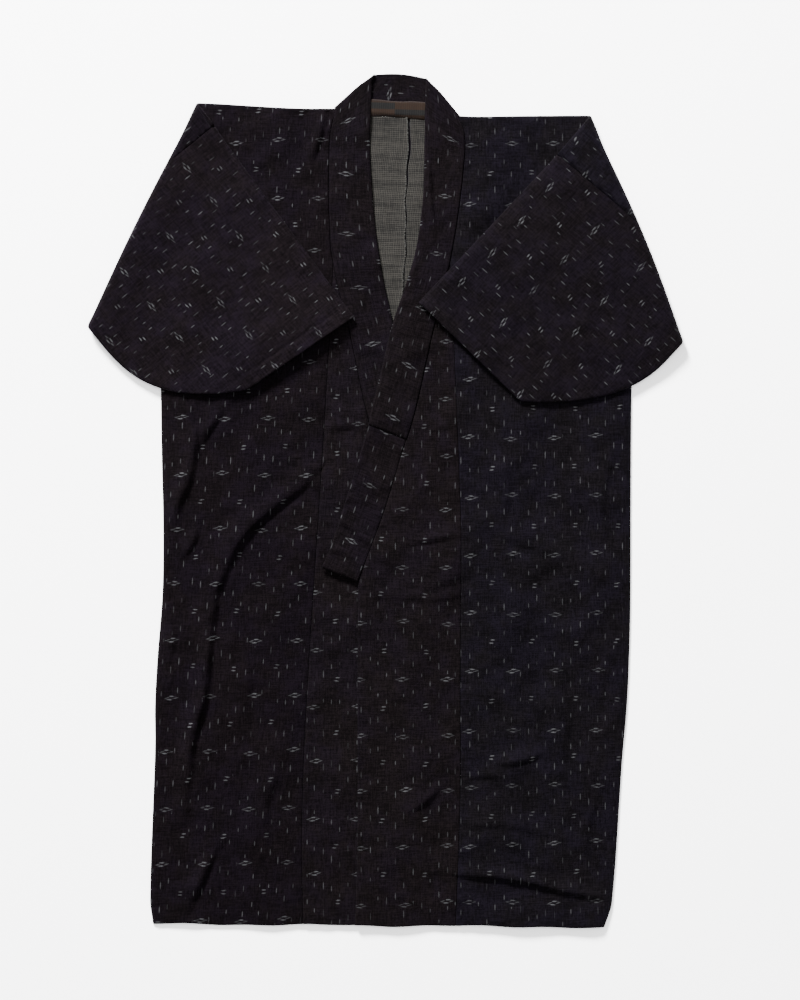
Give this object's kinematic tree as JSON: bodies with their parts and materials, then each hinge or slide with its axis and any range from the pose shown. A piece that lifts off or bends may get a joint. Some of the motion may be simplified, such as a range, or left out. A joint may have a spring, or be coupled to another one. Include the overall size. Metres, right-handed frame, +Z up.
{
  "type": "noragi work robe, laid flat",
  "caption": "Long lined cotton work robe laid flat on its back, fronts crossed and both sleeves folded in over them, with an open neck above the lining",
  "frame": {"origin": "on the surface under the middle of the robe's outline as laid", "axes": "+X to the viewer's right, +Y from the hem to the neck, +Z up off the surface that the robe lies on"},
  "size_m": [0.7922, 1.1432, 0.0153],
  "materials": {
    "kasuri_cotton": "matte woven cotton",
    "check_lining": "matte fine check cotton",
    "brown_stripe": "matte striped cotton"
  },
  "bodies": {
    "root": {"body_left": "kasuri_cotton", "body_right": "kasuri_cotton", "okumi_left": "kasuri_cotton", "okumi_right": "kasuri_cotton", "sleeve_left": "kasuri_cotton", "sleeve_right": "kasuri_cotton", "collar": "kasuri_cotton", "over_collar": "kasuri_cotton", "neck_strip": "brown_stripe", "lining_left": "check_lining", "lining_right": "check_lining"}
  },
  "joints": []
}
